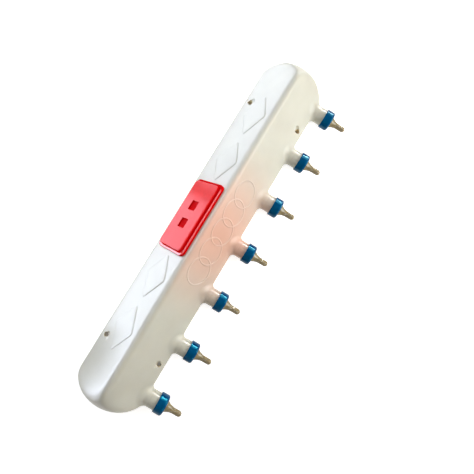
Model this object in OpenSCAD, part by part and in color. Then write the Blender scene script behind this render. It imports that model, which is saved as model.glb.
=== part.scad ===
// Multi teat lamb feeder: a blow moulded milk tank with a flat back, seven screw necks along its
// lower front edge, a soft teat clamped on each neck by a ring cap, and a lift-off filler lid.
// Millimetres. The flat back lies on Z = 0, the length runs along X and the teats point to -Y.

/* [Tank] */
// Length of the tank over its domed ends
tank_length = 736; // [690:2:840]
// Tank beyond the axis of the last teat at each end
end_margin = 53; // [50:1:70]
// Width across the two long side walls
tank_width = 130; // [124:1:150]
// Height of the side walls, where the roof faces would start with no rounding
shoulder_height = 30; // [27:0.5:36]
// Slope of the two roof faces in degrees
roof_slope = 47.5; // [45:0.5:52]
// Rounding along the ridge
ridge_radius = 9; // [6:0.5:12]
// Rounding between a side wall and its roof face
shoulder_radius = 10; // [6:0.5:14]
// Rounding between a side wall and the flat back
back_radius = 6; // [5:0.5:7]
// Thickness of the moulded wall
tank_wall = 3; // [2:0.25:3.5]
// Radius of the domed ends
end_radius = 80; // [78:1:90]
// Height of the dome's centre above the back, up to which the end wall is upright
end_height = 27; // [24:1:34]
// Rounding between a side wall and a domed end
end_corner = 30; // [24:1:36]

/* [Screw holes] */
// Distance between the screw holes along the tank
screw_span = 510; // [490:1:530]
// Distance of the screw holes from the side walls
screw_inset = 11; // [10:0.5:15]
// Screw hole diameter
screw_bore = 9; // [6:0.5:10]
// Wall of the moulded tube round each screw hole
screw_tube_wall = 5; // [4:0.5:7]
// Width of the web that joins the tube to the side wall
screw_web = 12; // [8:0.5:13]

/* [Necks] */
// Height of the neck axes above the back
neck_height = 24; // [22:0.5:27]
// Outer diameter of a neck
neck_diameter = 33; // [30:0.5:34]
// Bore of a neck
neck_bore = 25; // [20:0.5:27]
// Length of a neck beyond the side wall
neck_length = 34; // [32:0.5:42]
// How much wider than the neck its root is, all round
root_flare = 2.5; // [1:0.5:4]
// Length of the taper from the root to the neck
root_length = 6; // [3:0.5:9]

/* [Caps] */
// Outer diameter of a ring cap
cap_diameter = 39; // [38:0.5:42]
// Overall length of a ring cap
cap_length = 17.5; // [14:0.5:22]
// Thickness of the cap's front plate
cap_plate = 2; // [1.5:0.25:3]
// Rounding of the cap's front edge
cap_rounding = 4; // [2:0.5:5]
// Room between the neck and the cap, taken up by the screw thread
thread_room = 1.1; // [0.6:0.1:1.4]

/* [Teats] */
// Thickness of the flange held between neck and cap
flange_thickness = 2; // [1.5:0.25:3]
// Room round the flange inside the cap
flange_clearance = 0.6; // [0.4:0.1:1]
// Diameter of the teat where it leaves the cap
teat_base = 22; // [20:0.5:23]
// Room round the teat in the cap's front hole
teat_clearance = 0.5; // [0.3:0.1:1]
// Length of the teat's straight part beyond the cap's front plate
teat_collar = 0.5; // [0.5:0.25:3]
// Diameter of the slim part of the teat
teat_tip = 11; // [9:0.5:13]
// Length of the curved taper from the base to the slim part
teat_taper = 16; // [12:0.5:20]
// Length of the slim part with its round end
teat_reach = 16; // [12:0.5:22]
// Rubber thickness of the teat
teat_wall = 2; // [1.5:0.25:2.5]
// Rubber thickness at the teat's end
teat_end_wall = 2.5; // [2:0.25:3]
// Length of each arm pair of the cross cut in the teat's end
milk_cut = 5; // [3:0.5:6]
// Width of the cut, which closes when nothing sucks on the teat
milk_cut_width = 0.3; // [0.2:0.1:0.5]

/* [Filler lid] */
// Length of the lid along the tank
lid_length = 144; // [120:1:160]
// Width of the lid up the roof face
lid_width = 77; // [70:1:80]
// How far the lid and the lozenges sit above the middle of their roof face
lid_rise = 2; // [0:0.5:2.5]
// Height of the lid's skirt, with its top plate
lid_skirt = 6; // [5.5:0.5:9]
// Wall thickness of the lid
lid_wall = 2.5; // [2:0.25:3]
// Corner rounding of the lid
lid_corner = 9; // [7.5:0.5:12]
// Bevel along the top edge of the skirt
lid_bevel = 1.5; // [0.5:0.25:2]
// Height of the raised panel above the skirt
panel_height = 5; // [4:0.5:7]
// Ledge between the skirt and the raised panel
panel_ledge = 5; // [4:0.5:8]
// Bevel along the edge of the raised panel
panel_bevel = 2; // [1:0.25:3]
// Side of the two square recesses in the panel
recess_side = 18; // [14:0.5:22]
// Distance between the recesses' centres
recess_span = 36; // [32:1:46]
// Depth of the recesses
recess_depth = 3; // [1:0.5:3.5]
// Gap between the skirt and the roof face
skirt_gap = 0.5; // [0.3:0.1:1]
// Room between the skirt and the filler rim
rim_clearance = 0.5; // [0.3:0.1:0.8]
// Wall thickness of the filler rim
rim_wall = 3; // [2.5:0.25:3.5]

/* [Moulded relief] */
// Outer diameter of the rings on the front face
ring_diameter = 57; // [48:1:60]
// Distance between neighbouring rings
ring_pitch = 40.5; // [36:0.5:48]
// How far the chain of rings sits above the middle of its roof face
ring_rise = 4; // [0:0.5:6]
// How far the chain's middle is from the tank's middle
ring_shift = 4; // [-6:0.5:6]
// Length of a lozenge on the top face
lozenge_length = 94; // [80:1:100]
// Width of a lozenge
lozenge_width = 60; // [48:1:62]
// Gap between the lid and the nearer lozenges
lozenge_gap = 3; // [2:0.5:6]
// Distance between neighbouring lozenges
lozenge_pitch = 103; // [101:1:106]
// Width of the rings' moulded line
ring_line = 4.5; // [3:0.25:6]
// Height of the rings and lozenges above the skin
relief_height = 1.2; // [0.8:0.1:2]

/* [Hidden] */
$fn = 64;
arc_steps = 8;
// How far a cut or an added form reaches past the face it starts from
reach_in = 1;
stations = [-3, -2, -1, 0, 1, 2, 3];
side = tank_width / 2;
half_length = tank_length / 2;
// Distance between neighbouring teats
teat_pitch = (half_length - end_margin) / max(stations);
roof_length = side / cos(roof_slope);
apex = shoulder_height + side * tan(roof_slope);
screw_gap = tank_width - 2 * screw_inset;
dome_x = half_length - end_radius;
// Roundings cross the faces that they ease by this much, so that they meet them along clean edges
crossing = 0.6;
corner_y = side - end_corner + crossing;
corner_x = dome_x + sqrt(pow(end_radius - end_corner + crossing, 2) - pow(corner_y, 2));
neck_radius = neck_diameter / 2;
root_radius = neck_radius + root_flare;
// The root starts behind the inner face of the roof, even at its highest point
neck_start = max(0, neck_height + root_radius - shoulder_height) / tan(roof_slope)
    + tank_wall / sin(roof_slope) + reach_in;
cap_front = neck_length + flange_thickness + cap_plate;
cap_bore = neck_diameter + 2 * thread_room;
rim_length = lid_length - 2 * (lid_wall + rim_clearance);
rim_width = lid_width - 2 * (lid_wall + rim_clearance);
rim_corner = lid_corner - lid_wall - rim_clearance;
rim_height = lid_skirt - lid_wall;
lid_top = lid_skirt + panel_height;
lozenge_start = lid_length / 2 + lozenge_gap + lozenge_length / 2;
panel_length = lid_length - 2 * panel_ledge;
panel_width = lid_width - 2 * panel_ledge;

// Points along an arc round a centre, between two directions in degrees
function arc(centre, radius, from, to) =
    [for (i = [0 : arc_steps]) let (a = from + (to - from) * i / arc_steps)
        centre + radius * [cos(a), sin(a)]];

// A rectangle about the origin with round corners
module rounded_rect(l, w, r) {
    x = l / 2 - r;
    y = w / 2 - r;
    polygon(concat(arc([x, y], r, 0, 90), arc([-x, y], r, 90, 180),
        arc([-x, -y], r, 180, 270), arc([x, -y], r, 270, 360)));
}

// Puts children on a roof face, above its middle by rise: local Z leaves the face, local Y runs down it.
// The lid's face is on the +Y side and the teats' face on the -Y side.
module on_roof(facing, rise) {
    rotate([0, 0, facing > 0 ? 0 : 180])
        translate([0, 0, apex]) rotate([-roof_slope, 0, 0])
            translate([0, roof_length / 2 - rise, 0]) children();
}

// Puts children on a neck's axis: local Z points out of the side wall, from the wall's plane
module on_neck(station) {
    translate([station * teat_pitch, -side, neck_height]) rotate([90, 0, 0]) children();
}

// The tank's section across its length, drawn in Y and Z, inset from the outer skin
module section(inset) {
    ridge_z = apex - ridge_radius / cos(roof_slope);
    shoulder_z = shoulder_height + shoulder_radius * (tan(roof_slope) - 1 / cos(roof_slope));
    shoulder_y = side - shoulder_radius;
    back_y = side - back_radius;
    roof_turn = 90 - roof_slope;
    polygon(concat(
        arc([-back_y, back_radius], back_radius - inset, 180, 270),
        arc([back_y, back_radius], back_radius - inset, 270, 360),
        arc([shoulder_y, shoulder_z], shoulder_radius - inset, 0, roof_turn),
        arc([0, ridge_z], ridge_radius - inset, roof_turn, 180 - roof_turn),
        arc([-shoulder_y, shoulder_z], shoulder_radius - inset, 180 - roof_turn, 180)));
}

// The tank seen from above: its four round corners, with pointed ends that stay outside the domes
module plan(inset) {
    r = end_corner - inset;
    turn = atan2(corner_y, corner_x - dome_x);
    tip = dome_x + (end_radius + crossing - inset) / cos(turn);
    polygon(concat([[tip, 0]],
        arc([corner_x, corner_y], r, turn, 90), arc([-corner_x, corner_y], r, 90, 180 - turn),
        [[-tip, 0]],
        arc([-corner_x, -corner_y], r, 180 + turn, 270), arc([corner_x, -corner_y], r, 270, 360 - turn)));
}

// A domed end: an upright wall with a round edge at the back, closed by a dome
module end_dome(inset) {
    edge_z = back_radius - crossing;
    rotate_extrude($fn = 128) polygon(concat([[0, inset - crossing]],
        arc([end_radius - back_radius, edge_z], back_radius - inset, -90, 0),
        arc([0, end_height], end_radius - inset, 0, 90)));
}

// The tank's closed form: the section run along X, trimmed by its plan and its domed ends
module tank_form(inset) {
    intersection() {
        rotate([90, 0, 90]) linear_extrude(2 * (half_length + reach_in), center = true)
            section(inset);
        translate([0, 0, -reach_in]) linear_extrude(apex + 2 * reach_in) plan(inset);
        union() {
            translate([-dome_x, -side - reach_in, -reach_in])
                cube([2 * dome_x, tank_width + 2 * reach_in, apex + 2 * reach_in]);
            for (s = [-1, 1]) translate([s * dome_x, 0, 0]) end_dome(inset);
        }
    }
}

// Puts children at the four screw holes, with local Y pointing to the nearer side wall
module screw_places() {
    for (x = [-1, 1], y = [0, 1])
        mirror([0, y, 0]) translate([x * screw_span / 2, screw_gap / 2, 0]) children();
}

// The upright tube that carries a mounting screw through the tank, with its web to the side wall
module screw_tube() {
    cylinder(d = screw_bore + 2 * screw_tube_wall, h = apex);
    translate([-screw_web / 2, 0, 0]) cube([screw_web, side - screw_gap / 2, apex]);
}

// A chain of overlapping rings on the front face
module ring_chain() {
    for (i = [-2 : 2]) translate([i * ring_pitch, 0]) difference() {
        circle(d = ring_diameter);
        circle(d = ring_diameter - 2 * ring_line);
    }
}

// The rings and the flat lozenges stand on the skin and reach halfway into the wall
module relief() {
    root = tank_wall / 2;
    half_l = lozenge_length / 2;
    half_w = lozenge_width / 2;
    on_roof(-1, ring_rise) translate([-ring_shift, 0, -root])
        linear_extrude(root + relief_height) ring_chain();
    on_roof(1, lid_rise) translate([0, 0, -root]) linear_extrude(root + relief_height)
        for (s = [-1, 1], i = [0, 1]) translate([s * (lozenge_start + i * lozenge_pitch), 0])
            polygon([[half_l, 0], [0, half_w], [-half_l, 0], [0, -half_w]]);
}

module tank() {
    color("ivory") difference() {
        union() {
            tank_form(0);
            for (i = stations) on_neck(i) {
                translate([0, 0, -neck_start]) cylinder(r = root_radius, h = neck_start);
                cylinder(r1 = root_radius, r2 = neck_radius, h = root_length);
                cylinder(r = neck_radius, h = neck_length);
            }
            on_roof(1, lid_rise) translate([0, 0, -tank_wall / 2])
                linear_extrude(tank_wall / 2 + rim_height)
                    rounded_rect(rim_length, rim_width, rim_corner);
            relief();
        }
        // The milk space, with the screw tubes left standing in it
        difference() {
            tank_form(tank_wall);
            screw_places() screw_tube();
        }
        for (i = stations) on_neck(i) translate([0, 0, -neck_start])
            cylinder(d = neck_bore, h = neck_start + neck_length + reach_in);
        screw_places() translate([0, 0, -reach_in]) cylinder(d = screw_bore, h = apex);
        // The filler opening inside the rim
        on_roof(1, lid_rise) translate([0, 0, -tank_wall - reach_in])
            linear_extrude(tank_wall + rim_height + 2 * reach_in)
                rounded_rect(rim_length - 2 * rim_wall, rim_width - 2 * rim_wall, rim_corner - rim_wall / 2);
    }
}

// A block with a bevelled top edge: plan outline, then the bevel along both directions
module bevelled_block(l, w, r, h, bevel) {
    intersection() {
        linear_extrude(h) rounded_rect(l, w, r);
        rotate([90, 0, 0]) linear_extrude(w + 2 * reach_in, center = true)
            polygon([[-l / 2, 0], [l / 2, 0], [l / 2, h - bevel], [l / 2 - bevel, h],
                [-l / 2 + bevel, h], [-l / 2, h - bevel]]);
        rotate([90, 0, 90]) linear_extrude(l + 2 * reach_in, center = true)
            polygon([[-w / 2, 0], [w / 2, 0], [w / 2, h - bevel], [w / 2 - bevel, h],
                [-w / 2 + bevel, h], [-w / 2, h - bevel]]);
    }
}

module lid() {
    panel_corner = lid_corner - panel_ledge / 2;
    color("crimson") on_roof(1, lid_rise) difference() {
        union() {
            translate([0, 0, skirt_gap])
                bevelled_block(lid_length, lid_width, lid_corner, lid_skirt - skirt_gap, lid_bevel);
            translate([0, 0, rim_height])
                bevelled_block(panel_length, panel_width, panel_corner, lid_top - rim_height, panel_bevel);
        }
        // Hollow of the skirt, which slips over the filler rim
        translate([0, 0, -reach_in]) linear_extrude(rim_height + reach_in)
            rounded_rect(lid_length - 2 * lid_wall, lid_width - 2 * lid_wall, lid_corner - lid_wall);
        // Hollow of the raised panel, with the recesses' wells left standing in it
        difference() {
            translate([0, 0, rim_height - reach_in]) linear_extrude(panel_height + reach_in)
                rounded_rect(panel_length - 2 * lid_wall - panel_bevel,
                    panel_width - 2 * lid_wall - panel_bevel, panel_corner - lid_wall);
            for (s = [-1, 1]) translate([s * recess_span / 2, 0, lid_top - recess_depth - lid_wall])
                linear_extrude(lid_top) square(recess_side + 2 * lid_wall, center = true);
        }
        for (s = [-1, 1]) translate([s * recess_span / 2, 0, lid_top - recess_depth])
            linear_extrude(recess_depth + reach_in) square(recess_side, center = true);
    }
}

// A ring cap in its neck's frame: skirt over the neck, front plate with the teat's hole
module cap(station) {
    outer = cap_diameter / 2;
    back = cap_front - cap_length;
    hole = teat_base / 2 + teat_clearance;
    color("royalblue") on_neck(station) rotate_extrude() polygon(concat(
        [[cap_bore / 2, back], [outer, back]],
        [for (a = [0 : 15 : 90]) [outer - cap_rounding, cap_front - cap_rounding]
            + cap_rounding * [cos(a), sin(a)]],
        [[hole, cap_front], [hole, cap_front - cap_plate], [cap_bore / 2, cap_front - cap_plate]]));
}

// Outer radius of the teat along its taper: t runs from 0 at the base to 1 at the slim part
function taper_radius(t) = teat_tip / 2 + (teat_base - teat_tip) / 2 * pow(1 - t, 2);

// A teat in its neck's frame: flange, curved taper, slim part with a cross cut round end, and its hollow
module teat(station) {
    flange = cap_bore / 2 - flange_clearance;
    seat = neck_length;
    start = cap_front + teat_collar;
    tip = teat_tip / 2;
    slim = start + teat_taper;
    end = slim + teat_reach;
    taper = [for (t = [0 : 0.125 : 1]) [taper_radius(t), start + t * teat_taper]];
    color("peru") on_neck(station) difference() {
        rotate_extrude() polygon(concat(
            [[flange, seat], [flange, seat + flange_thickness], [teat_base / 2, seat + flange_thickness]],
            taper,
            [for (a = [0 : 15 : 90]) [tip * cos(a), end - tip + tip * sin(a)]],
            [[0, end - teat_end_wall], [tip - teat_wall, end - max(tip, teat_end_wall)]],
            [for (i = [8 : -1 : 0]) taper[i] - [teat_wall, 0]],
            [[teat_base / 2 - teat_wall, seat]]));
        for (a = [0, 90]) rotate([0, 0, a])
            translate([-milk_cut / 2, -milk_cut_width / 2, end - tip])
                cube([milk_cut, milk_cut_width, tip + reach_in]);
    }
}

tank();
lid();
cap(stations[0]);  // cap_1
cap(stations[1]);  // cap_2
cap(stations[2]);  // cap_3
cap(stations[3]);  // cap_4
cap(stations[4]);  // cap_5
cap(stations[5]);  // cap_6
cap(stations[6]);  // cap_7
teat(stations[0]);  // teat_1
teat(stations[1]);  // teat_2
teat(stations[2]);  // teat_3
teat(stations[3]);  // teat_4
teat(stations[4]);  // teat_5
teat(stations[5]);  // teat_6
teat(stations[6]);  // teat_7
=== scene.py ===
"""Looks of the multi teat lamb feeder: a satin polyethylene tank with a glossy red filler lid,
glossy blue ring caps and amber latex teats, lying on its flat back on a pale floor.
Lengths are metres in the part's own frame: the back on Z = 0, the length along X, the teats to -Y."""

import math

import bmesh
import bpy
import numpy as np
from mathutils import Matrix, Vector


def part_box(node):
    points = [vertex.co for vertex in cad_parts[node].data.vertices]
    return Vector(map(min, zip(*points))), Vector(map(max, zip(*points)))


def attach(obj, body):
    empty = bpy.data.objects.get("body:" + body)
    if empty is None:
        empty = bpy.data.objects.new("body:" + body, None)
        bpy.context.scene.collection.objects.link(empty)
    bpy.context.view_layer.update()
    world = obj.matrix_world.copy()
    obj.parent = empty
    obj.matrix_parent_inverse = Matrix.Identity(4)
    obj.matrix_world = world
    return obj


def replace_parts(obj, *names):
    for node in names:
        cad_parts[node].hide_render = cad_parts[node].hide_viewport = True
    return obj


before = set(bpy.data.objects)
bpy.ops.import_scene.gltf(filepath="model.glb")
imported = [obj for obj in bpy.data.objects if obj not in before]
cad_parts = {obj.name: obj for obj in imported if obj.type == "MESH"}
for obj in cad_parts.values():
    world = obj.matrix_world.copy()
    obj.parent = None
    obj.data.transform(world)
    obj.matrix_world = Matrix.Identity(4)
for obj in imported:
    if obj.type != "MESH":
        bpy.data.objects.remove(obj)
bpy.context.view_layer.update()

# Sizes that the frame gives
tank_low, tank_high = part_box("tank")
cap_low, cap_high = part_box("cap_4")
teat_low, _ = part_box("teat_4")
lid_low, lid_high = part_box("lid")
STATIONS = range(1, 8)
HALF_LENGTH = tank_high.x
SIDE = tank_high.y
NECK_Z = (cap_low.z + cap_high.z) / 2
NECK_END = -tank_low.y - SIDE
CAP_RADIUS = (cap_high.x - cap_low.x) / 2
CAP_BACK = -cap_high.y - SIDE
CAP_FRONT = -cap_low.y - SIDE
TEAT_END = -teat_low.y - SIDE
LID_LENGTH = lid_high.x - lid_low.x

# Amounts that count as nought: between points of a mesh, and for the rate at which a ray nears a plane
SAME_POINT = 1e-6
LEAST_RATE = 1e-6

# Tank: the section's planes, the domed ends, and how softly they meet
ROOF_SLOPE = math.radians(47.5)
SHOULDER_Z = 0.030
WALL = 0.003
APEX = SHOULDER_Z + SIDE * math.tan(ROOF_SLOPE)
SPINE_Z = 0.040
END_RADIUS = 0.080
END_HEIGHT = 0.027
SPINE_END = HALF_LENGTH - END_RADIUS
RIDGE_EASE = 0.026
SHOULDER_EASE = 0.006
DOME_EASE = 0.0105
DOME_CREST_EASE = 0.040
BACK_EASE = 0.015

# Tank skin: a ray's length where it meets nothing, where a line along Y is searched for the skin,
# and the points round the section, along the spine and over each end
OUT_OF_REACH = 1.0
WALL_SEARCH = (-1.3 * SIDE, -0.2 * SIDE)
WALL_HALVINGS = 40
OUTLINE_STEPS = 4001
INNER_GRID = (128, 25, 28)
OUTER_GRID = (256, 49, 56)

# Screw holes, and the dents round them, whose balls stand above the roof by a share of their radius
SCREW_X = 0.255
SCREW_Y = 0.054
SCREW_RADIUS = 0.0045
SCREW_TUBE = 0.0095
DISH_RADIUS = 0.0085
DISH_LIFT = 0.62

# Necks, whose root curves leave skin and neck by a share of their width and rise
NECK_RADIUS = 0.0165
NECK_BORE = 0.0125
ROOT_FLARE = 0.008
ROOT_FLARE_BACK = 0.003
ROOT_RISE = 0.008
ROOT_PULL = 0.6
SKIN_STEP = 0.001
LIP_RADIUS = 0.001

# Screw threads of necks and caps, which interlock half a pitch apart; the ridge's edges are sunk
# by a share of what its foot is
THREAD_ROOM = 0.0011
THREAD_PITCH = 0.003
THREAD_WIDTH = 0.0013
THREAD_HEIGHT = 0.0007
THREAD_SINK = 0.0005
THREAD_EDGE_SINK = 0.2
THREAD_FADE = 0.25
NECK_THREAD = 0.0225
NECK_TURNS = 3
CAP_TURNS = 2

# Ring caps; the guard is the straight run beside an edge that keeps the skirt's shading even
CAP_BORE = NECK_RADIUS + THREAD_ROOM
CAP_HOLE = 0.0115
CAP_PLATE = 0.002
CAP_EDGE = 0.0006
CAP_SHOULDER = 0.004
CAP_GUARD = 0.0004

# Teats, with the cross cut in their ends
FLANGE_RADIUS = NECK_RADIUS + 0.0005
FLANGE_DEPTH = 0.002
TEAT_BASE = 0.011
TEAT_TIP = 0.0055
TEAT_RUBBER = 0.002
TAPER_START = CAP_FRONT + 0.0005
TAPER_LENGTH = 0.016
TIP_DEPTH = 0.0025
MILK_CUT = 0.005
MILK_CUT_WIDTH = 0.0003

# Filler rim, and the lid's outline and walls
LID_WIDTH = 0.077
LID_RISE = 0.002
LID_CORNER = 0.009
LEAST_CORNER = 0.002
LID_SKIRT = 0.006
LID_TOP = 0.011
LID_WALL = 0.0025
SKIRT_GAP = 0.0005
RIM_INSET = 0.003
RIM_HEIGHT = 0.0035
RIM_WALL = 0.003
SKIRT_EDGE = 0.0004

# Lid's ledge and raised panel: the panel's wall leans in from its foot to its round edge
PANEL_LEDGE = 0.005
LEDGE_CROWN = 0.004
LEDGE_CROWN_SPAN = (120, 52)
LEDGE_EDGE = 0.001
PANEL_FOOT = 0.0002
PANEL_FOOT_SINK = 0.0004
PANEL_LEAN = 0.0004
PANEL_ROUND = 0.0018
PANEL_WALL_TOP = 0.0024
PANEL_FLAT = (0.0030, 0.0060)
PANEL_HOLLOW_GAP = 0.002
PANEL_HOLLOW_CORNER = 0.004

# Lid's recesses: insets and heights of the steps that ease the floor, and of those that ease the lip
RECESS_SIDE = 0.018
RECESS_SPAN = 0.036
RECESS_DEPTH = 0.003
RECESS_CORNER = 0.0016
RECESS_FLOOR_STEPS = ((0.0016, 0), (0.0006, 0.0001), (0.0002, 0.0005))
RECESS_LIP_STEPS = ((0, -0.0008), (-0.0001, -0.0004), (-0.0005, 0), (-0.0005, 0.002))
WELL_CORNER = 0.003

# Lid's faces by finish, where the matte red carries painted shade: how near to its height a floor or the
# ledge is found, and which slope is steep
FLOOR_BELOW_TOP = 0.0006
FLOOR_MARGIN = 0.0005
LEDGE_MARGIN = 0.0012
STEEP = 0.5

# Moulded relief, whose edges are sunk a little into the faces
RELIEF_SINK = 0.0001
RING_PLACES = range(-2, 3)
RING_RADIUS = 0.0285
RING_PITCH = 0.0405
RING_LINE = 0.0045
RING_HEIGHT = 0.0008
RING_RISE = 0.004
RING_SHIFT = 0.004
LOZENGE_X = (0.122, 0.225)
LOZENGE_LENGTH = 0.094
LOZENGE_WIDTH = 0.060
LOZENGE_EDGE = 0.0024
LOZENGE_HEIGHT = 0.0010
LOZENGE_ROUND = 0.05

# Painted light: a rose glow painted on the wall opposite the lid, where red light let through the lid would
# fall: its middle, its reach, and half the width of its edge along the ridge
PAINTED_ROSE_MIDDLE = (0.0, -0.025, 0.075)
PAINTED_ROSE_REACH = 0.185
PAINTED_ROSE_EDGE = 0.006

# Screw holes' walls, lighter in colour as painted light that stands for light shining through the thin tube
# walls, and the run over which the necks get smoother than the tank
BORE_MARGIN = 0.0003
PAINTED_BORE_LIGHT = (0.98, 0.87, 0.66, 1)
POLISH_RUN = 0.012
NECK_ROUGHNESS = 0.5

# Sockets of a colour mix: its two colours and its result
MIX_FIRST, MIX_SECOND, MIX_RESULT = 6, 7, 2

# Studio
FLOOR_HALF = 8.0
FLOOR_TONE = (0.90, 0.90, 0.90, 1)
FLOOR_GLOW = 0.72
ROOM_TONE = (1.0, 0.93, 0.85, 1)
ROOM_LIGHT = 0.28
WHITE = (1.0, 1.0, 1.0)

# Camera at the photograph's angle
CAMERA_AT = Vector((-0.0910, -0.0325, 0.7920))
CAMERA_AIM = Vector((0.0130, -0.0574, 0.0500))
CAMERA_UP = Vector((0.8523, 0.5130, 0.1023))
CAMERA_LENS = 30.76
CAMERA_SENSOR = 36.0
CAMERA_NEAR = 0.01


# Meshes from arrays

def grid_faces(rows, columns, ring=False):
    """Quads of a grid whose columns close on themselves, and whose rows do too where ring is set."""
    row = np.arange(rows if ring else rows - 1)[:, None]
    column = np.arange(columns)[None, :]
    below = (row + 1) % rows
    beside = (column + 1) % columns
    pairs = [(row, column), (row, beside), (below, beside), (below, column)]
    corners = [line * columns + place for line, place in pairs]
    return np.stack(corners, -1).reshape(-1, 4).tolist()


def loops_mesh(name, loops, ring=False, caps=False):
    """A mesh through stacked loops, an array of (loop, point, xyz), with flat ends where caps is set."""
    rows, columns = loops.shape[:2]
    faces = grid_faces(rows, columns, ring)
    if caps:
        faces.append(list(range(columns)))
        faces.append(list(range((rows - 1) * columns, rows * columns)))
    mesh = bpy.data.meshes.new(name)
    mesh.from_pydata(loops.reshape(-1, 3).tolist(), [], faces)
    work = bmesh.new()
    work.from_mesh(mesh)
    bmesh.ops.remove_doubles(work, verts=work.verts, dist=SAME_POINT)
    bmesh.ops.recalc_face_normals(work, faces=work.faces)
    work.to_mesh(mesh)
    work.free()
    return mesh


def joined_mesh(name, meshes):
    """One mesh that holds several."""
    work = bmesh.new()
    for mesh in meshes:
        work.from_mesh(mesh)
        bpy.data.meshes.remove(mesh)
    joined = bpy.data.meshes.new(name)
    work.to_mesh(joined)
    work.free()
    return joined


def new_object(mesh):
    """An object that holds a mesh and has its name, in the scene."""
    piece = bpy.data.objects.new(mesh.name, mesh)
    bpy.context.scene.collection.objects.link(piece)
    return piece


def carve(piece, cutter_mesh, how="DIFFERENCE"):
    """Cuts a closed mesh out of a piece, or joins it on, and keeps the result as the piece's mesh."""
    cutter = new_object(cutter_mesh)
    cut = piece.modifiers.new("cut", "BOOLEAN")
    cut.solver = "MANIFOLD"
    cut.operation = how
    cut.object = cutter
    depsgraph = bpy.context.evaluated_depsgraph_get()
    carved = bpy.data.meshes.new_from_object(piece.evaluated_get(depsgraph))
    piece.modifiers.remove(cut)
    plain = piece.data
    carved.name = plain.name
    piece.data = carved
    bpy.data.meshes.remove(plain)
    bpy.data.objects.remove(cutter)
    bpy.data.meshes.remove(cutter_mesh)


def dress(piece, finish, body, sharp=35):
    """Gives a piece its finish, smooth shading with edges sharper than an angle kept, and its body."""
    piece.data.shade_smooth()
    piece.data.set_sharp_from_angle(angle=math.radians(sharp))
    piece.data.materials.clear()
    piece.data.materials.append(finish)
    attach(piece, body)
    return piece


# Profiles and paths

def arc(centre, radius, start, end, count):
    """Points round a centre between two directions in degrees."""
    angle = np.radians(np.linspace(start, end, count))
    return np.array(centre) + radius * np.stack([np.cos(angle), np.sin(angle)], -1)


def rounded_loop(length, width, corner, count=10):
    """A rectangle with round corners: four quarter arcs, joined by straight lines."""
    x = length / 2 - corner
    y = width / 2 - corner
    corners = [(x, y, 0), (-x, y, 90), (-x, -y, 180), (x, -y, 270)]
    return np.concatenate([arc((u, v), corner, turn, turn + 90, count) for u, v, turn in corners])


def on_roof(flat, height, facing):
    """Places points given along X and down a roof face, at heights above it, on the lid's face (1)
    or the teats' face (-1): the face's middle, less the rise of what stands on that face, plus the
    way down it, plus its normal times the height."""
    along, down = flat[..., 0], flat[..., 1] - (LID_RISE if facing > 0 else RING_RISE)
    sine, cosine = math.sin(ROOF_SLOPE), math.cos(ROOF_SLOPE)
    out = SIDE / 2 + down * cosine + height * sine
    up = (APEX + SHOULDER_Z) / 2 - down * sine + height * cosine
    return np.stack([facing * along, facing * out, up + 0 * along], -1)


def roof_prism(name, flat, low, high, facing):
    """A straight block on a roof face: one outline at two heights."""
    loops = np.stack([on_roof(flat, height, facing) for height in (low, high)])
    return loops_mesh(name, loops, caps=True)


def circle_about(axis, angle):
    """Unit vectors square to an axis, at angles that turn right-handed about it."""
    first = np.roll(axis, 1)
    second = np.cross(axis, first)
    return np.cos(angle)[:, None] * first + np.sin(angle)[:, None] * second


def turned(name, profile, start, axis, count=64, ring=False, caps=False):
    """A profile of (radius, distance) spun about an axis: start, plus the axis times the distance,
    plus a circle of the radius square to the axis."""
    axis = np.array(axis, float)
    circle = circle_about(axis, np.linspace(0, 2 * math.pi, count, endpoint=False))
    profile = np.array(profile, float)
    loops = np.array(start) + profile[:, None, 1:] * axis + profile[:, None, :1] * circle
    return loops_mesh(name, loops, ring, caps)


def screw_thread(name, station, wall, height, start, turns):
    """A right-hand screw thread about a neck's axis: a ridge on a wall of one radius, outwards where its
    height is above nought and inwards where it is below. Across its width the height follows a squared
    cosine, and it fades out at both ends, while the ridge climbs one pitch a turn. Its foot is sunk into
    the wall."""
    axis = np.array([0.0, -1.0, 0.0])
    turn = np.linspace(0, turns, 96 * turns + 1)[:, None]
    across = np.linspace(-0.5, 0.5, 9)
    sink = math.copysign(THREAD_SINK, height)
    fade = np.clip(np.minimum(turn, turns - turn) / THREAD_FADE, 0, 1)
    ridge = wall + fade * height * np.cos(math.pi * across) ** 2 - THREAD_EDGE_SINK * sink
    foot = np.full((len(turn), 2), wall - sink)
    radius = np.concatenate([ridge, foot], 1)[..., None]
    along = start + THREAD_PITCH * turn + THREAD_WIDTH * np.concatenate([across, across[[-1, 0]]])
    circle = circle_about(axis, 2 * math.pi * turn[:, 0])[:, None]
    loops = np.array(neck_start(station)) + along[..., None] * axis + radius * circle
    return loops_mesh(name, loops, caps=True)


def neck_start(station):
    """The point where a neck's axis crosses the plane of the side wall."""
    low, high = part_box(f"cap_{station}")
    return (low.x + high.x) / 2, -SIDE, NECK_Z


# Tank skin

def soft_min(first, second, room):
    """The lesser of two lengths, eased where they differ by less than room:
    the minimum, less a sixth of room times the cube of one minus their difference over room."""
    ease = np.clip(1 - np.abs(first - second) / room, 0, None)
    return np.minimum(first, second) - room / 6 * ease ** 3


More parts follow.
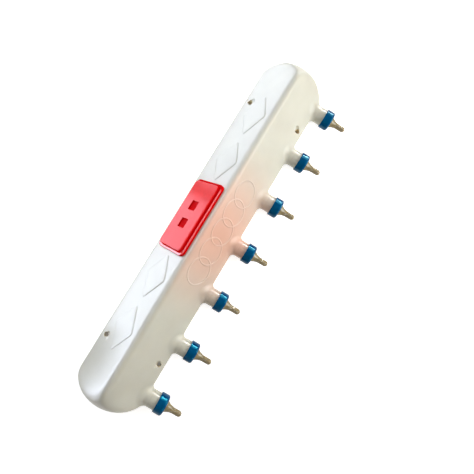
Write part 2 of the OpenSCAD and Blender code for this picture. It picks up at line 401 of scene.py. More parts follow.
def skin_reach(start, way, inset):
    """Length of a ray from the tank's spine to its skin: the eased minimum of the ray's lengths to the
    two roof planes, the side planes, the domed end and the back, each moved in by inset. The end is a
    ball above the height of its centre and an upright round wall below it, and the near end is eased
    the more, the more a ray points both up and to -X."""
    def to_plane(normal, distance):
        rate = way @ np.array(normal)
        gap = distance - inset - start @ np.array(normal)
        return np.where(rate > LEAST_RATE, gap / np.maximum(rate, LEAST_RATE), OUT_OF_REACH)

    sine, cosine = math.sin(ROOF_SLOPE), math.cos(ROOF_SLOPE)
    roofs = soft_min(
        to_plane((0, sine, cosine), APEX * cosine),
        to_plane((0, -sine, cosine), APEX * cosine),
        RIDGE_EASE)
    sides = np.minimum(to_plane((0, 1, 0), SIDE), to_plane((0, -1, 0), SIDE))
    reach = soft_min(roofs, sides, SHOULDER_EASE)
    lift = SPINE_Z - END_HEIGHT
    radius = END_RADIUS - inset
    ball = np.sqrt((lift * way[..., 2]) ** 2 + radius ** 2 - lift ** 2) - lift * way[..., 2]
    upright = radius / np.maximum(np.hypot(way[..., 0], way[..., 1]), LEAST_RATE)
    end = np.where(lift + ball * way[..., 2] > 0, ball, np.minimum(upright, OUT_OF_REACH))
    crest = np.clip(-way[..., 0], 0, None) * np.clip(way[..., 2], 0, None)
    reach = soft_min(reach, end, DOME_EASE + DOME_CREST_EASE * crest)
    return soft_min(reach, np.minimum(to_plane((0, 0, -1), 0), OUT_OF_REACH), BACK_EASE)


def skin_loops(inset, around, along, tilts):
    """The closed skin as loops: rays leave the spine square to it, evenly spaced along the section's
    outline, and at each end of the spine they tilt over until they point along X."""
    fine = np.linspace(0, 2 * math.pi, OUTLINE_STEPS)
    fan = np.stack([0 * fine, np.cos(fine), np.sin(fine)], -1)
    middle = np.array([0, 0, SPINE_Z])
    outline = fan * skin_reach(middle + 0 * fan, fan, inset)[:, None]
    steps = np.linalg.norm(np.diff(outline, axis=0), axis=1)
    length = np.concatenate([[0], np.cumsum(steps)])
    angle = np.interp(np.linspace(0, length[-1], around, endpoint=False), length, fine)
    lean = np.linspace(0, math.pi / 2, tilts + 1)[1:]
    tilt = np.concatenate([-lean[::-1], np.zeros(along), lean])[:, None]
    straight = np.linspace(-SPINE_END, SPINE_END, along)
    x = np.concatenate([np.full(tilts, -SPINE_END), straight, np.full(tilts, SPINE_END)])[:, None]
    start = np.stack([x + 0 * angle, 0 * x + 0 * angle, 0 * x + SPINE_Z + 0 * angle], -1)
    way = np.stack(
        [np.sin(tilt) + 0 * angle, np.cos(tilt) * np.cos(angle), np.cos(tilt) * np.sin(angle)], -1)
    return start + way * skin_reach(start, way, inset)[..., None]


def wall_y(x, z, inset=0.0):
    """The Y at which a line along Y meets the teats' side of the skin, found by halving the span."""
    low, high = (np.full(x.shape, end) for end in WALL_SEARCH)
    start = np.stack([np.clip(x, -SPINE_END, SPINE_END), 0 * x, 0 * x + SPINE_Z], -1)
    for _ in range(WALL_HALVINGS):
        y = (low + high) / 2
        ray = np.stack([x, y, z], -1) - start
        span = np.linalg.norm(ray, axis=-1)
        inside = span < skin_reach(start, ray / span[..., None], inset)
        high = np.where(inside, y, high)
        low = np.where(inside, low, y)
    return (low + high) / 2


def screw_places(z):
    """Where the axes of the four screw holes cross a level."""
    return [(x, y, z) for x in (-SCREW_X, SCREW_X) for y in (-SCREW_Y, SCREW_Y)]


def screw_solids(name, radius, low, high):
    """Upright round bars at the four screw holes."""
    side = [(radius, low), (radius, high)]
    return joined_mesh(name, [turned(name, side, place, (0, 0, 1), caps=True) for place in screw_places(0)])


def screw_dishes():
    """Round dents that the mould presses into the roof faces round the screw holes: balls on the faces."""
    z = SHOULDER_Z + (SIDE - SCREW_Y) * math.tan(ROOF_SLOPE) + DISH_LIFT * DISH_RADIUS
    ball = arc((0, 0), DISH_RADIUS, -90, 90, 25)
    dishes = [turned("dish", ball, place, (0, 0, 1), 48) for place in screw_places(z)]
    return joined_mesh("screw_dishes", dishes)


def make_tank(finish):
    """The moulded shell: outer skin less inner skin, with the screw tubes left standing, then the screw
    holes with their dents, the necks' bores and the filler mouth cut out."""
    hollow = new_object(loops_mesh("milk_space", skin_loops(WALL, *INNER_GRID)))
    carve(hollow, screw_solids("screw_tubes", SCREW_TUBE, -WALL, APEX))
    shell = new_object(loops_mesh("tank_shell", skin_loops(0, *OUTER_GRID)))
    inner = hollow.data
    bpy.data.objects.remove(hollow)
    carve(shell, inner)
    carve(shell, screw_solids("screw_bores", SCREW_RADIUS, -WALL, APEX))
    carve(shell, screw_dishes())
    bore = [(NECK_BORE, -3 * ROOT_RISE), (NECK_BORE, ROOT_RISE)]
    bores = [turned("neck_bore", bore, neck_start(station), (0, -1, 0), caps=True) for station in STATIONS]
    carve(shell, joined_mesh("neck_bores", bores))
    mouth = rounded_loop(*mouth_size())
    carve(shell, roof_prism("filler_mouth", mouth, -3 * WALL, WALL, 1))
    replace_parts(dress(shell, finish, "tank"), "tank")


def make_neck(station, finish):
    """A neck with its blended root: for each direction round the axis a cubic curve leaves the skin along
    it and turns into the neck's straight wall, which runs to the round lip and back down the bore. The
    blend is narrower towards the tank's back, where the side wall is low."""
    x, _, z = neck_start(station)
    angle = np.linspace(0, 2 * math.pi, 96, endpoint=False)
    circle = np.stack([np.cos(angle), 0 * angle, np.sin(angle)], -1)

    def on_skin(radius, inset=0.0):
        u = x + radius * circle[:, 0]
        w = z + radius * circle[:, 2]
        return np.stack([u, wall_y(u, w, inset), w], -1)

    def ring(radius, distance):
        return np.array([x, -SIDE - distance, z]) + radius * circle

    flare = ROOT_FLARE - (ROOT_FLARE - ROOT_FLARE_BACK) * np.clip(-circle[:, 2], 0, 1) ** 2
    foot = on_skin(NECK_RADIUS + flare)
    inward = on_skin(NECK_RADIUS + flare - SKIN_STEP) - foot
    inward /= np.linalg.norm(inward, axis=1)[:, None]
    wall = on_skin(NECK_RADIUS)
    wall[:, 1] -= ROOT_RISE
    out = np.array([0, -1, 0])
    leave = foot + ROOT_PULL * flare[:, None] * inward
    arrive = wall - ROOT_PULL * ROOT_RISE * out
    share = np.linspace(0, 1, 15)[:, None, None]
    curve = ((1 - share) ** 3 * foot + 3 * (1 - share) ** 2 * share * leave
        + 3 * (1 - share) * share ** 2 * arrive + share ** 3 * wall)
    buried = on_skin(NECK_RADIUS + flare, 0.5 * WALL)
    bore = on_skin(NECK_BORE, WALL)
    lip = arc((NECK_RADIUS - LIP_RADIUS, NECK_END - LIP_RADIUS), LIP_RADIUS, 0, 90, 5)
    straight = [ring(r, d) for r, d in [(NECK_RADIUS, CAP_BACK), *lip, (NECK_BORE, NECK_END)]]
    loops = np.stack([buried, *curve, *straight, bore])
    neck = new_object(loops_mesh(f"neck_{station}", loops, ring=True))
    thread = screw_thread("neck_thread", station, NECK_RADIUS, THREAD_HEIGHT, NECK_THREAD, NECK_TURNS)
    carve(neck, thread, "UNION")
    dress(neck, finish, "tank")


def make_rings(finish):
    """The chain of rings on the teats' face: each a low bead whose height across its line is a squared
    cosine."""
    across = np.linspace(-0.5, 0.5, 13)
    height = RING_HEIGHT * np.cos(math.pi * across) ** 2 - RELIEF_SINK
    radius = RING_RADIUS - RING_LINE / 2 + RING_LINE * across
    foot = [[radius[-1], -WALL / 2], [radius[0], -WALL / 2]]
    profile = np.concatenate([np.stack([radius, height], -1), foot])
    angle = np.linspace(0, 2 * math.pi, 120, endpoint=False)
    circle = np.stack([np.cos(angle), np.sin(angle)], -1)
    beads = []
    for place in RING_PLACES:
        flat = profile[:, None, :1] * circle + np.array([place * RING_PITCH - RING_SHIFT, 0])
        loops = on_roof(flat, profile[:, None, 1], -1)
        beads.append(loops_mesh("ring", loops, ring=True))
    dress(new_object(joined_mesh("front_rings", beads)), finish, "tank", sharp=60)


def make_lozenges(finish):
    """The raised lozenges on the lid's face: outlines whose reach is one over the sum of each direction's
    shares along the two half diagonals, with round corners, shrunk towards the middle while their height
    rises along an S curve."""
    angle = np.linspace(0, 2 * math.pi, 240, endpoint=False)
    along = np.sqrt(np.cos(angle) ** 2 + LOZENGE_ROUND ** 2) / (LOZENGE_LENGTH / 2)
    across = np.sqrt(np.sin(angle) ** 2 + LOZENGE_ROUND ** 2) / (LOZENGE_WIDTH / 2)
    outline = np.stack([np.cos(angle), np.sin(angle)], -1) / (along + across)[:, None]
    ramp = np.linspace(0, 1, 9)
    middle_radius = LOZENGE_LENGTH * LOZENGE_WIDTH / 2 / math.hypot(LOZENGE_LENGTH, LOZENGE_WIDTH)
    size = np.concatenate([[0, 1], 1 - ramp * LOZENGE_EDGE / middle_radius, [0.6, 0]])
    rise = (LOZENGE_HEIGHT + RELIEF_SINK) * (3 * ramp ** 2 - 2 * ramp ** 3) - RELIEF_SINK
    height = np.concatenate([[-WALL / 2, -WALL / 2], rise, [LOZENGE_HEIGHT, LOZENGE_HEIGHT]])
    pads = []
    for x in [sign * place for sign in (-1, 1) for place in LOZENGE_X]:
        flat = size[:, None, None] * outline + np.array([x, 0])
        pads.append(loops_mesh("lozenge", on_roof(flat, height[:, None], 1)))
    dress(new_object(joined_mesh("top_lozenges", pads)), finish, "tank", sharp=60)


# Filler rim and lid

def rim_size(inset):
    """Length, width and corner of an outline inside the rim's outer wall by an inset."""
    length = LID_LENGTH - 2 * (RIM_INSET + inset)
    width = LID_WIDTH - 2 * (RIM_INSET + inset)
    return length, width, max(LID_CORNER - RIM_INSET - inset, LEAST_CORNER)


def mouth_size():
    """Length, width and corner of the filler mouth."""
    return rim_size(RIM_WALL)


def make_rim(finish):
    """The upstanding rim round the mouth: a wall with a round top carried round a rounded rectangle."""
    edge = arc((RIM_WALL / 2, RIM_HEIGHT - RIM_WALL / 2), RIM_WALL / 2, 180, 0, 9)
    profile = [(0, -WALL), *edge, (RIM_WALL, -WALL)]
    loops = np.stack([on_roof(rounded_loop(*rim_size(inset)), height, 1) for inset, height in profile])
    dress(new_object(loops_mesh("filler_rim", loops, ring=True)), finish, "tank")


def lid_outline(inset):
    """The lid's outline moved in by an inset, with corners that shrink half as fast."""
    corner = max(LID_CORNER - inset / 2, LEAST_CORNER)
    return rounded_loop(LID_LENGTH - 2 * inset, LID_WIDTH - 2 * inset, corner)


def part_finishes(lid, painted_shade, bright):
    """Gives the lid's steep sides, found by their slope, the recesses' floors, found by their place and
    depth, and the ledge's far end a matte finish whose darker red is painted shade, and the rest of the
    crowned ledge, found by its height, a brighter one."""
    lid.data.materials.append(painted_shade)
    lid.data.materials.append(bright)
    faces = lid.data.polygons
    middle = np.empty(3 * len(faces), dtype=np.float32)
    facing = np.empty(3 * len(faces), dtype=np.float32)
    faces.foreach_get("center", middle)
    faces.foreach_get("normal", facing)
    x, y, z = middle.reshape(-1, 3).T
    sine, cosine = math.sin(ROOF_SLOPE), math.cos(ROOF_SLOPE)
    height = y * sine + (z - APEX) * cosine
    down = y * cosine - (z - APEX) * sine - SIDE / cosine / 2 + LID_RISE
    reach = RECESS_SIDE / 2
    beside = (np.abs(np.abs(x) - RECESS_SPAN / 2) < reach) & (np.abs(down) < reach)
    level = (height < LID_TOP - FLOOR_BELOW_TOP) & (height > LID_TOP - RECESS_DEPTH - FLOOR_MARGIN)
    slope = facing.reshape(-1, 3) @ np.array([0, sine, cosine])
    ledge = (slope > STEEP) & (np.abs(height - LID_SKIRT) < LEDGE_MARGIN)
    far = x > LID_LENGTH / 2 - LID_CORNER
    # Painted shade: these faces take the darker matte red
    shade_painted_faces = beside & level | (np.abs(slope) < STEEP) | ledge & far
    chosen = np.where(shade_painted_faces, 1, np.where(ledge, 2, 0))
    faces.foreach_set("material_index", chosen.astype(np.int32))


def make_lid(finish, painted_shade, bright):
    """The push-on lid: a skirt, a crowned ledge and a raised panel with eased edges, carried round a
    rounded rectangle, hollow below, with two square recesses whose lips and floors are eased."""
    first, last = LEDGE_CROWN_SPAN
    join = LID_SKIRT - LEDGE_CROWN + (LEDGE_CROWN - LEDGE_EDGE) * math.sin(math.radians(first))
    edge = arc((0, LID_TOP - PANEL_ROUND), PANEL_ROUND, 0, 90, 7)
    profile = np.concatenate([
        [(SKIRT_EDGE, SKIRT_GAP)],
        [(0, SKIRT_GAP + SKIRT_EDGE)],
        arc((LEDGE_EDGE, join), LEDGE_EDGE, 180, first, 6),
        arc((PANEL_LEDGE / 2, LID_SKIRT - LEDGE_CROWN), LEDGE_CROWN, first, last, 13)[1:],
        [(PANEL_LEDGE + PANEL_FOOT, LID_SKIRT - PANEL_FOOT_SINK)],
        [(PANEL_LEDGE + PANEL_FOOT, LID_TOP - PANEL_WALL_TOP)],
        [(PANEL_LEDGE + PANEL_LEAN + PANEL_ROUND - out, height) for out, height in edge],
        [(PANEL_LEDGE + inset, LID_TOP) for inset in PANEL_FLAT]])
    loops = np.stack([on_roof(lid_outline(inset), height, 1) for inset, height in profile])
    lid = new_object(loops_mesh("lid_cover", loops, caps=True))
    hollow = rounded_loop(LID_LENGTH - 2 * LID_WALL, LID_WIDTH - 2 * LID_WALL, LID_CORNER - LID_WALL)
    carve(lid, roof_prism("skirt_hollow", hollow, -LID_SKIRT, RIM_HEIGHT, 1))
    less = 2 * (PANEL_LEDGE + LID_WALL) + PANEL_HOLLOW_GAP
    hollow = rounded_loop(LID_LENGTH - less, LID_WIDTH - less, PANEL_HOLLOW_CORNER)
    panel = new_object(roof_prism("panel_hollow", hollow, 0, LID_TOP - LID_WALL, 1))
    middles = [np.array([side * RECESS_SPAN / 2, 0]) for side in (-1, 1)]
    floor = LID_TOP - RECESS_DEPTH
    side = RECESS_SIDE + 2 * LID_WALL
    well = rounded_loop(side, side, WELL_CORNER)
    wells = [roof_prism("well", well + middle, floor - LID_WALL, LID_TOP, 1) for middle in middles]
    carve(panel, joined_mesh("wells", wells))
    inner = panel.data
    bpy.data.objects.remove(panel)
    carve(lid, inner)
    steps = [(inset, floor + rise) for inset, rise in RECESS_FLOOR_STEPS]
    steps += [(inset, LID_TOP + rise) for inset, rise in RECESS_LIP_STEPS]
    pockets = []
    for middle in middles:
        rings = []
        for inset, height in steps:
            side = RECESS_SIDE - 2 * inset
            rings.append(on_roof(rounded_loop(side, side, RECESS_CORNER, 6) + middle, height, 1))
        pockets.append(loops_mesh("recess", np.stack(rings), caps=True))
    carve(lid, joined_mesh("recesses", pockets))
    dress(lid, finish, "lid")
    part_finishes(lid, painted_shade, bright)
    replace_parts(lid, "lid")


# Caps and teats

def make_cap(station, finish):
    """A ring cap, a profile spun about the neck's axis: skirt with an eased back edge and a thread in its
    bore, round front shoulder, flat front with the teat's hole."""
    profile = np.concatenate([
        [(CAP_BORE, CAP_BACK)],
        arc((CAP_RADIUS - CAP_EDGE, CAP_BACK + CAP_EDGE), CAP_EDGE, -90, 0, 4),
        [(CAP_RADIUS, CAP_BACK + CAP_EDGE + CAP_GUARD)],
        [(CAP_RADIUS, CAP_FRONT - CAP_SHOULDER - CAP_GUARD)],
        arc((CAP_RADIUS - CAP_SHOULDER, CAP_FRONT - CAP_SHOULDER), CAP_SHOULDER, 0, 90, 10),
        arc((CAP_HOLE + CAP_EDGE, CAP_FRONT - CAP_EDGE), CAP_EDGE, 90, 180, 4),
        [(CAP_HOLE, CAP_FRONT - CAP_PLATE), (CAP_BORE, CAP_FRONT - CAP_PLATE)]])
    place = neck_start(station)
    cap = new_object(turned(f"ring_cap_{station}", profile, place, (0, -1, 0), 96, ring=True))
    start = NECK_THREAD + THREAD_PITCH / 2
    thread = screw_thread("cap_thread", station, CAP_BORE, -THREAD_HEIGHT, start, CAP_TURNS)
    carve(cap, thread, "UNION")
    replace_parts(dress(cap, finish, f"cap_{station}"), f"cap_{station}")


def milk_cut(station, low, high):
    """The cross cut's blade: a cross of two slits, one arm turned by quarters, carried along the teat's
    axis."""
    long, thin = MILK_CUT / 2, MILK_CUT_WIDTH / 2
    arm = np.array([(long, -thin), (long, thin), (thin, thin)])
    quarter = np.array([(0, 1), (-1, 0)])
    u, w = np.concatenate([arm @ np.linalg.matrix_power(quarter, turn) for turn in range(4)]).T
    loops = np.stack([np.stack([u, np.full(u.shape, -distance), w], -1) for distance in (low, high)])
    return loops_mesh("milk_cut", np.array(neck_start(station)) + loops, caps=True)


def make_teat(station, finish):
    """A teat, a profile spun about the neck's axis: a flange, a taper whose radius falls along a parabola,
    a slim end with a round, cross cut tip, and the hollow inside it."""
    share = np.linspace(0, 1, 20)[:, None]
    radius = TEAT_TIP + (TEAT_BASE - TEAT_TIP) * (1 - share) ** 2
    taper = np.concatenate([radius, TAPER_START + TAPER_LENGTH * share], -1)
    inside = taper[::-1] - np.array([TEAT_RUBBER, 0])
    profile = np.concatenate([
        [(FLANGE_RADIUS, NECK_END), (FLANGE_RADIUS, NECK_END + FLANGE_DEPTH)],
        [(TEAT_BASE, NECK_END + FLANGE_DEPTH)],
        taper,
        arc((0, TEAT_END - TEAT_TIP), TEAT_TIP, 0, 90, 12),
        [(0, TEAT_END - TIP_DEPTH), (TEAT_TIP - TEAT_RUBBER, TEAT_END - TEAT_TIP)],
        inside,
        [(TEAT_BASE - TEAT_RUBBER, NECK_END)]])
    place = neck_start(station)
    teat = new_object(turned(f"teat_latex_{station}", profile, place, (0, -1, 0), 64, ring=True))
    carve(teat, milk_cut(station, TEAT_END - TEAT_TIP, TEAT_END + TEAT_TIP))
    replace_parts(dress(teat, finish, f"teat_{station}"), f"teat_{station}")


# Finishes

def new_finish(name):
    """A material with its nodes, its links and its shader."""
    finish = bpy.data.materials.new(name)
    finish.use_nodes = True
    nodes = finish.node_tree.nodes
    return finish, nodes, finish.node_tree.links, nodes["Principled BSDF"]


def node(nodes, kind, **values):
    """A new node whose properties, or else its sockets, get values by name, with spaces as underscores."""
    made = nodes.new(kind)
    for name, value in values.items():
        if name in made.bl_rna.properties:
            setattr(made, name, value)
        else:
            made.inputs[name.replace("_", " ")].default_value = value
    return made


def two_tones(nodes, links, source, dark, light, edge):
    """A tone that runs from dark to light while its source runs from edge to one less edge."""
    ramp = node(nodes, "ShaderNodeValToRGB")
    first, last = ramp.color_ramp.elements
    first.position = edge
    first.color = (*dark, 1)
    last.position = 1 - edge
    last.color = (*light, 1)
    links.new(source, ramp.inputs["Fac"])
    return ramp.outputs["Color"]


def painted_rose_light_share(nodes, links, place):
    """How much painted light is laid into the wall's colour, standing for red light from inside let in by
    the lid: full opposite the lid, fading out with distance and gone on the lid's own side."""
    gap = node(nodes, "ShaderNodeVectorMath", operation="DISTANCE")
    links.new(place, gap.inputs[0])
    gap.inputs[1].default_value = PAINTED_ROSE_MIDDLE
    near = node(
        nodes, "ShaderNodeMapRange", interpolation_type="SMOOTHSTEP",
        From_Min=0.0, From_Max=PAINTED_ROSE_REACH, To_Min=1.0, To_Max=0.0)
    links.new(gap.outputs["Value"], near.inputs["Value"])
    axes = node(nodes, "ShaderNodeSeparateXYZ")
    links.new(place, axes.inputs["Vector"])
    front = node(
        nodes, "ShaderNodeMapRange", interpolation_type="SMOOTHSTEP",
        From_Min=-PAINTED_ROSE_EDGE, From_Max=PAINTED_ROSE_EDGE, To_Min=1.0, To_Max=0.0)
    links.new(axes.outputs["Y"], front.inputs["Value"])
    share = node(nodes, "ShaderNodeMath", operation="MULTIPLY")
    links.new(near.outputs["Result"], share.inputs[0])
    links.new(front.outputs["Result"], share.inputs[1])
    return share.outputs[0]


def painted_bore_light_share(nodes, links, place):
    """One on the walls of the four screw holes, where light shining through the thin tubes is painted into
    the
    colour, and nought elsewhere: the place is folded into one quarter, and its distance from that quarter's
    hole is compared."""
    folded = node(nodes, "ShaderNodeVectorMath", operation="ABSOLUTE")
    links.new(place, folded.inputs[0])
    flat = node(nodes, "ShaderNodeVectorMath", operation="MULTIPLY")
    links.new(folded.outputs["Vector"], flat.inputs[0])
    flat.inputs[1].default_value = (1.0, 1.0, 0.0)
    gap = node(nodes, "ShaderNodeVectorMath", operation="DISTANCE")
    links.new(flat.outputs["Vector"], gap.inputs[0])
    gap.inputs[1].default_value = (SCREW_X, SCREW_Y, 0.0)
    inside = node(nodes, "ShaderNodeMath", operation="LESS_THAN")
    links.new(gap.outputs["Value"], inside.inputs[0])
    inside.inputs[1].default_value = SCREW_RADIUS + BORE_MARGIN
    return inside.outputs[0]


def neck_polish(nodes, links, place):
    """The share of the tank's roughness: all of it up to the side wall, and less beyond it, because the
    necks are smoother."""
    axes = node(nodes, "ShaderNodeSeparateXYZ")
    links.new(place, axes.inputs["Vector"])
    share = node(
        nodes, "ShaderNodeMapRange", interpolation_type="SMOOTHSTEP",
        From_Min=-SIDE - POLISH_RUN, From_Max=-SIDE, To_Min=NECK_ROUGHNESS, To_Max=1.0)
    links.new(axes.outputs["Y"], share.inputs["Value"])
    return share.outputs["Result"]


def satin_polyethylene(name, dark, light, tint):
    """Natural polyethylene: milky cream with faint clouds, satin, with a fine moulded grain. Painted light
    is laid
    into its colour: a rosy glow opposite the red lid, coloured by the tint, and lighter walls in the screw
    holes."""
    finish, nodes, links, shader = new_finish(name)
    shader.inputs["Subsurface Weight"].default_value = 0.25
    shader.inputs["Subsurface Radius"].default_value = (0.012, 0.009, 0.006)
    shader.inputs["Subsurface Scale"].default_value = 1.0
    shader.inputs["Specular IOR Level"].default_value = 0.55
    place = node(nodes, "ShaderNodeTexCoord").outputs["Object"]
    clouds = node(nodes, "ShaderNodeTexNoise", Scale=11.0, Detail=4.0, Roughness=0.55)
    links.new(place, clouds.inputs["Vector"])
    tone = two_tones(nodes, links, clouds.outputs["Fac"], dark, light, edge=0.30)
    # Painted light: the tint is multiplied into the tone where red light let in by the lid would fall
    painted_rose = node(nodes, "ShaderNodeMix", data_type="RGBA", blend_type="MULTIPLY")
    links.new(painted_rose_light_share(nodes, links, place), painted_rose.inputs["Factor"])
    links.new(tone, painted_rose.inputs[MIX_FIRST])
    painted_rose.inputs[MIX_SECOND].default_value = (*tint, 1)
    # Painted light: the screw holes' walls take a lighter tone for light shining through the thin tubes
    bores = node(nodes, "ShaderNodeMix", data_type="RGBA")
    links.new(painted_bore_light_share(nodes, links, place), bores.inputs["Factor"])
    links.new(painted_rose.outputs[MIX_RESULT], bores.inputs[MIX_FIRST])
    bores.inputs[MIX_SECOND].default_value = PAINTED_BORE_LIGHT
    links.new(bores.outputs[MIX_RESULT], shader.inputs["Base Color"])
    satin = node(nodes, "ShaderNodeMapRange", To_Min=0.30, To_Max=0.42)
    links.new(clouds.outputs["Fac"], satin.inputs["Value"])
    polish = node(nodes, "ShaderNodeMath", operation="MULTIPLY")
    links.new(satin.outputs["Result"], polish.inputs[0])
    links.new(neck_polish(nodes, links, place), polish.inputs[1])
    links.new(polish.outputs[0], shader.inputs["Roughness"])
    grain = node(nodes, "ShaderNodeTexNoise", Scale=420.0, Detail=2.0)
    links.new(place, grain.inputs["Vector"])
    bump = node(nodes, "ShaderNodeBump", Strength=0.06, Distance=0.0004)
    links.new(grain.outputs["Fac"], bump.inputs["Height"])
    links.new(bump.outputs["Normal"], shader.inputs["Normal"])
    return finish


def moulded_plastic(name, dark, light, roughness, specular, tint=WHITE):
    """Coloured injection moulded plastic, with a faint swirl in its tone and gloss and a soft waviness."""
    finish, nodes, links, shader = new_finish(name)
    shader.inputs["Specular IOR Level"].default_value = specular
    shader.inputs["Specular Tint"].default_value = (*tint, 1)
    place = node(nodes, "ShaderNodeTexCoord").outputs["Object"]
    swirl = node(nodes, "ShaderNodeTexNoise", Scale=60.0, Detail=3.0, Distortion=0.6)
    links.new(place, swirl.inputs["Vector"])
    tone = two_tones(nodes, links, swirl.outputs["Fac"], dark, light, edge=0.35)
    links.new(tone, shader.inputs["Base Color"])
    gloss = node(nodes, "ShaderNodeMapRange", To_Min=roughness, To_Max=1.3 * roughness)
    links.new(swirl.outputs["Fac"], gloss.inputs["Value"])
    links.new(gloss.outputs["Result"], shader.inputs["Roughness"])
    wave = node(nodes, "ShaderNodeBump", Strength=0.05, Distance=0.0006)
    links.new(swirl.outputs["Fac"], wave.inputs["Height"])
    links.new(wave.outputs["Normal"], shader.inputs["Normal"])
    return finish


def amber_latex(name, dark, light):
    """Amber latex: translucent and smooth, with a faint mottle in its tone and gloss."""
    finish, nodes, links, shader = new_finish(name)
    shader.inputs["Subsurface Weight"].default_value = 0.35
    shader.inputs["Subsurface Radius"].default_value = (0.006, 0.004, 0.002)
    shader.inputs["Subsurface Scale"].default_value = 1.0
    shader.inputs["Specular IOR Level"].default_value = 0.6
    place = node(nodes, "ShaderNodeTexCoord").outputs["Object"]
    mottle = node(nodes, "ShaderNodeTexNoise", Scale=150.0, Detail=3.0)
    links.new(place, mottle.inputs["Vector"])
    tone = two_tones(nodes, links, mottle.outputs["Fac"], dark, light, edge=0.30)
    links.new(tone, shader.inputs["Base Color"])
    satin = node(nodes, "ShaderNodeMapRange", To_Min=0.09, To_Max=0.15)
    links.new(mottle.outputs["Fac"], satin.inputs["Value"])
    links.new(satin.outputs["Result"], shader.inputs["Roughness"])
    return finish


# Studio

def seen_directly(nodes, links):
    """One where a ray comes from the camera, a gloss or clear material, and nought for light that
    bounces."""
    path = node(nodes, "ShaderNodeLightPath")
    first = node(nodes, "ShaderNodeMath", operation="MAXIMUM")
    second = node(nodes, "ShaderNodeMath", operation="MAXIMUM")
    links.new(path.outputs["Is Camera Ray"], first.inputs[0])
    links.new(path.outputs["Is Glossy Ray"], first.inputs[1])
    links.new(first.outputs[0], second.inputs[0])
    links.new(path.outputs["Is Transmission Ray"], second.inputs[1])
    return second.outputs[0]


def make_floor():
    """A pale floor that looks white where it is lit and still takes the object's shadow."""
    corners = [(x, y, 0) for x, y in FLOOR_HALF * np.array([(-1, -1), (1, -1), (1, 1), (-1, 1)])]
    mesh = bpy.data.meshes.new("floor")
    mesh.from_pydata(corners, [], [(0, 1, 2, 3)])
    floor = new_object(mesh)
    finish, nodes, links, shader = new_finish("pale_floor")
    shader.inputs["Base Color"].default_value = FLOOR_TONE
    shader.inputs["Roughness"].default_value = 0.9
    shader.inputs["Specular IOR Level"].default_value = 0.1
    glow = node(nodes, "ShaderNodeEmission", Color=(*WHITE, 1))
    share = node(nodes, "ShaderNodeMath", operation="MULTIPLY")
    links.new(seen_directly(nodes, links), share.inputs[0])
    share.inputs[1].default_value = FLOOR_GLOW
    links.new(share.outputs[0], glow.inputs["Strength"])
    both = node(nodes, "ShaderNodeAddShader")
    links.new(shader.outputs["BSDF"], both.inputs[0])
    links.new(glow.outputs["Emission"], both.inputs[1])
    links.new(both.outputs["Shader"], nodes["Material Output"].inputs["Surface"])
    mesh.materials.append(finish)


def make_world():
    """Even, slightly warm light from all round, and plain white where it is seen directly."""
    world = bpy.data.worlds.new("studio")
    world.use_nodes = True
    nodes, links = world.node_tree.nodes, world.node_tree.links
    soft = nodes["Background"]
    soft.inputs["Color"].default_value = ROOM_TONE
    soft.inputs["Strength"].default_value = ROOM_LIGHT
    white = node(nodes, "ShaderNodeBackground", Color=(*WHITE, 1), Strength=1.0)
    mix = node(nodes, "ShaderNodeMixShader")
    links.new(seen_directly(nodes, links), mix.inputs["Fac"])
    links.new(soft.outputs["Background"], mix.inputs[1])
    links.new(white.outputs["Background"], mix.inputs[2])
    links.new(mix.outputs["Shader"], nodes["World Output"].inputs["Surface"])
    bpy.context.scene.world = world


def make_lamp(name, place, aim, size, power, colour, sheen_only=False):
    """A soft rectangular lamp at a place, turned to a point, out of the camera's sight. A sheen lamp makes
    reflections alone."""
    lamp = bpy.data.lights.new(name, "AREA")
    lamp.shape = "RECTANGLE"
    lamp.size, lamp.size_y = size
    lamp.energy = power
    lamp.color = colour
    made = bpy.data.objects.new(name, lamp)
    made.location = place
    made.rotation_euler = (Vector(aim) - Vector(place)).to_track_quat("-Z", "Y").to_euler()
    made.visible_camera = False
    made.visible_diffuse = not sheen_only
    bpy.context.scene.collection.objects.link(made)


def make_camera():
    """The camera looks from its place to its aim, with the picture's upright along the given way."""
    back = (CAMERA_AT - CAMERA_AIM).normalized()
    right = CAMERA_UP.cross(back).normalized()
    up = back.cross(right)
    camera = bpy.data.cameras.new("camera")
    camera.lens = CAMERA_LENS
    camera.sensor_width = CAMERA_SENSOR
    camera.clip_start = CAMERA_NEAR
    made = bpy.data.objects.new("camera", camera)
    turn = Matrix((right, up, back)).transposed().to_4x4()
    made.matrix_world = Matrix.Translation(CAMERA_AT) @ turn
    bpy.context.scene.collection.objects.link(made)
    bpy.context.scene.camera = made


# Finishes in use

# The tint of each tank finish colours the rose light painted opposite the lid
polyethylene = satin_polyethylene(
    "satin_polyethylene", dark=(0.61, 0.595, 0.51), light=(0.69, 0.68, 0.59), tint=(1.28, 0.70, 0.60))
# Painted highlight: the rings' finish is a lighter tone with a weaker rose light, standing for light
# catching the beads
ring_highlight_polyethylene = satin_polyethylene(
    "ring_highlight_polyethylene", dark=(0.655, 0.635, 0.55), light=(0.73, 0.71, 0.62), tint=(1.26, 0.75, 0.66))
red = moulded_plastic(
    "red_lid_plastic", dark=(0.90, 0.008, 0.009), light=(0.97, 0.010, 0.011),
    roughness=0.27, specular=0.20)
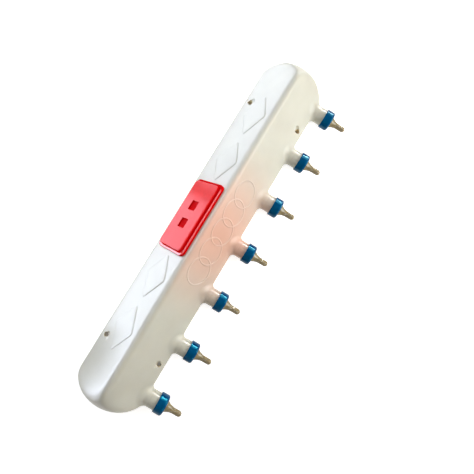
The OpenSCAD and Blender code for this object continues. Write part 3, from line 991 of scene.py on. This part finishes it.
# Painted shade: a darker, matte red for the lid's steep sides, recess floors and the ledge's far end
shade_painted_red = moulded_plastic(
    "shade_painted_red_plastic", dark=(0.72, 0.001, 0.003), light=(0.80, 0.002, 0.004),
    roughness=0.55, specular=0.01)
bright_red = moulded_plastic(
    "bright_red_plastic", dark=(0.90, 0.008, 0.009), light=(0.97, 0.010, 0.011),
    roughness=0.16, specular=0.70)
blue = moulded_plastic(
    "blue_cap_plastic", dark=(0.0, 0.048, 0.165), light=(0.0, 0.062, 0.20),
    roughness=0.05, specular=0.32, tint=(0.03, 0.8, 1.0))
latex = amber_latex("amber_latex", dark=(0.21, 0.155, 0.055), light=(0.32, 0.245, 0.095))

# Pieces

make_tank(polyethylene)
for number in STATIONS:
    make_neck(number, polyethylene)
    make_cap(number, blue)
    make_teat(number, latex)
make_rings(ring_highlight_polyethylene)
make_lozenges(polyethylene)
make_rim(polyethylene)
make_lid(red, shade_painted_red, bright_red)

# Floor, light and camera

make_floor()
make_world()
make_lamp(
    "near_sheen", place=(-0.35, 0.16, 0.096), aim=(-0.35, 0.0, 0.096), size=(0.20, 0.055),
    power=0.52, colour=(0.74, 0.81, 1.0), sheen_only=True)
make_lamp(
    "middle_sheen", place=(-0.105, 0.16, 0.056), aim=(-0.105, 0.0, 0.056), size=(0.32, 0.11),
    power=0.95, colour=(0.76, 0.83, 1.0), sheen_only=True)
make_lamp(
    "far_sheen", place=(0.275, 0.16, 0.056), aim=(0.275, 0.0, 0.056), size=(0.37, 0.11),
    power=0.72, colour=(0.76, 0.83, 1.0), sheen_only=True)
make_lamp(
    "end_sheen", place=(-0.46, 0.13, 0.085), aim=(-0.33, 0.01, 0.085), size=(0.16, 0.07),
    power=0.18, colour=(0.76, 0.81, 1.0), sheen_only=True)
make_lamp(
    "stripe_sheen", place=(2.00, -0.30, 0.45), aim=(0.0, -0.10, 0.04), size=(0.24, 0.12),
    power=8.4, colour=WHITE, sheen_only=True)
make_lamp(
    "broad_sheen", place=(1.60, -0.24, 0.70), aim=(0.0, -0.10, 0.04), size=(0.08, 1.05),
    power=1.9, colour=WHITE, sheen_only=True)
make_lamp(
    "ridge_sheen", place=(0.10, 0.45, 1.15), aim=(0.0, 0.0, 0.10), size=(1.80, 0.10),
    power=14.0, colour=(0.85, 0.92, 1.0), sheen_only=True)
make_lamp(
    "top_sheen", place=(0.45, -0.55, 0.95), aim=(0.05, -0.12, 0.03), size=(0.05, 0.90),
    power=3.0, colour=WHITE, sheen_only=True)
make_lamp(
    "left_sheen", place=(-0.80, -0.55, 0.85), aim=(0.05, -0.12, 0.03), size=(0.05, 0.80),
    power=2.5, colour=WHITE, sheen_only=True)
make_lamp(
    "side_lamp", place=(0.35, 1.20, 0.75), aim=(0.05, 0.0, 0.05), size=(1.0, 0.5),
    power=10.0, colour=(0.82, 0.89, 1.0))
make_lamp(
    "front_lamp", place=(0.50, -0.98, 0.50), aim=(0.10, -0.05, 0.05), size=(0.8, 0.6),
    power=10.7, colour=(1.0, 0.985, 0.93))
make_lamp(
    "far_lamp", place=(1.45, 0.10, 0.65), aim=(0.2, -0.05, 0.05), size=(0.5, 0.9),
    power=4.6, colour=(1.0, 0.99, 0.94))
make_camera()
bpy.context.scene.view_settings.view_transform = "Standard"
